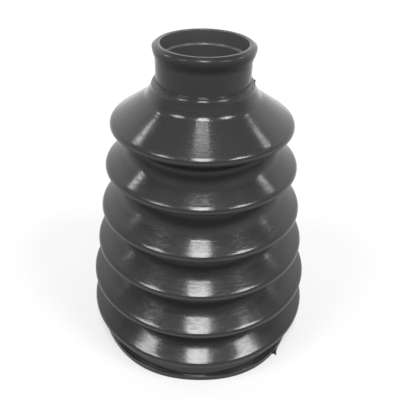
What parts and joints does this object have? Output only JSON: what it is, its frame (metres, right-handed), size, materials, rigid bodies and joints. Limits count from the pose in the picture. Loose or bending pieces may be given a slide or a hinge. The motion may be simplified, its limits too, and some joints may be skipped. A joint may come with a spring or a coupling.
{
  "type": "rubber bellows boot",
  "caption": "Tapered one-piece rubber bellows boot with stacked outward folds, a narrow clamp neck at the top and a wide clamp collar at the foot, open right through.",
  "frame": {"origin": "centre of the large end's base plane, on the axis of revolution", "axes": "+Z along the axis from the large end to the small end; the part is round, so +X is free, and only the flash thorn on the lip breaks the roundness"},
  "size_m": [0.0788, 0.0788, 0.1037],
  "materials": {
    "rubber": "moulded black rubber, semi-gloss"
  },
  "bodies": {
    "root": {"bellows_boot": "rubber"}
  },
  "joints": []
}
